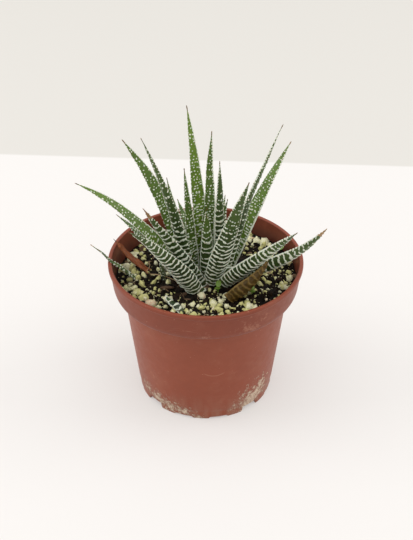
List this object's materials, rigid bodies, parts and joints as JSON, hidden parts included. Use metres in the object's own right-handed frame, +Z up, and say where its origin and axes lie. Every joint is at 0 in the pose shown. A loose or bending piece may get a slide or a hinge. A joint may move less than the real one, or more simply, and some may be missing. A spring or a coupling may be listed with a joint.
{
  "type": "potted haworthia",
  "caption": "Zebra haworthia rosette of separate striped, pointed leaves standing in potting mix in a round flared-collar plastic nursery pot.",
  "frame": {"origin": "middle of the pot's foot, on the surface that it stands on, at the flat boss under the floor", "axes": "+Z up along the pot's axis, -Y towards the plant's front, +X to the right as seen from the front"},
  "size_m": [0.1302, 0.105, 0.1637],
  "materials": {
    "pot_plastic": "satin",
    "potting_mix": "matte",
    "crown": "matte",
    "leaf_green": "satin",
    "leaf_dying": "satin",
    "leaf_dead": "matte"
  },
  "bodies": {
    "root": {"pot": "pot_plastic", "potting_mix": "potting_mix", "crown": "crown", "leaf_heart": "leaf_green", "leaf_middle": "leaf_green", "leaf_tall": "leaf_green", "leaf_inner_left": "leaf_green", "leaf_inner_right": "leaf_green", "leaf_front": "leaf_green", "leaf_front_left_inner": "leaf_green", "leaf_left_slender": "leaf_green", "leaf_left_broad": "leaf_green", "leaf_right_slender": "leaf_green", "leaf_right_broad": "leaf_green", "leaf_front_left": "leaf_green", "leaf_left_arching": "leaf_green", "leaf_left_dark": "leaf_green", "leaf_right_low": "leaf_green", "leaf_right_long": "leaf_green", "leaf_back_left": "leaf_green", "leaf_back": "leaf_green", "leaf_back_right": "leaf_green", "leaf_inner_back": "leaf_green", "leaf_back_upright": "leaf_green", "leaf_dying": "leaf_dying", "leaf_dead": "leaf_dead", "leaf_small_dark": "leaf_green", "leaf_old_thin": "leaf_green", "leaf_pup": "leaf_green"}
  },
  "joints": []
}
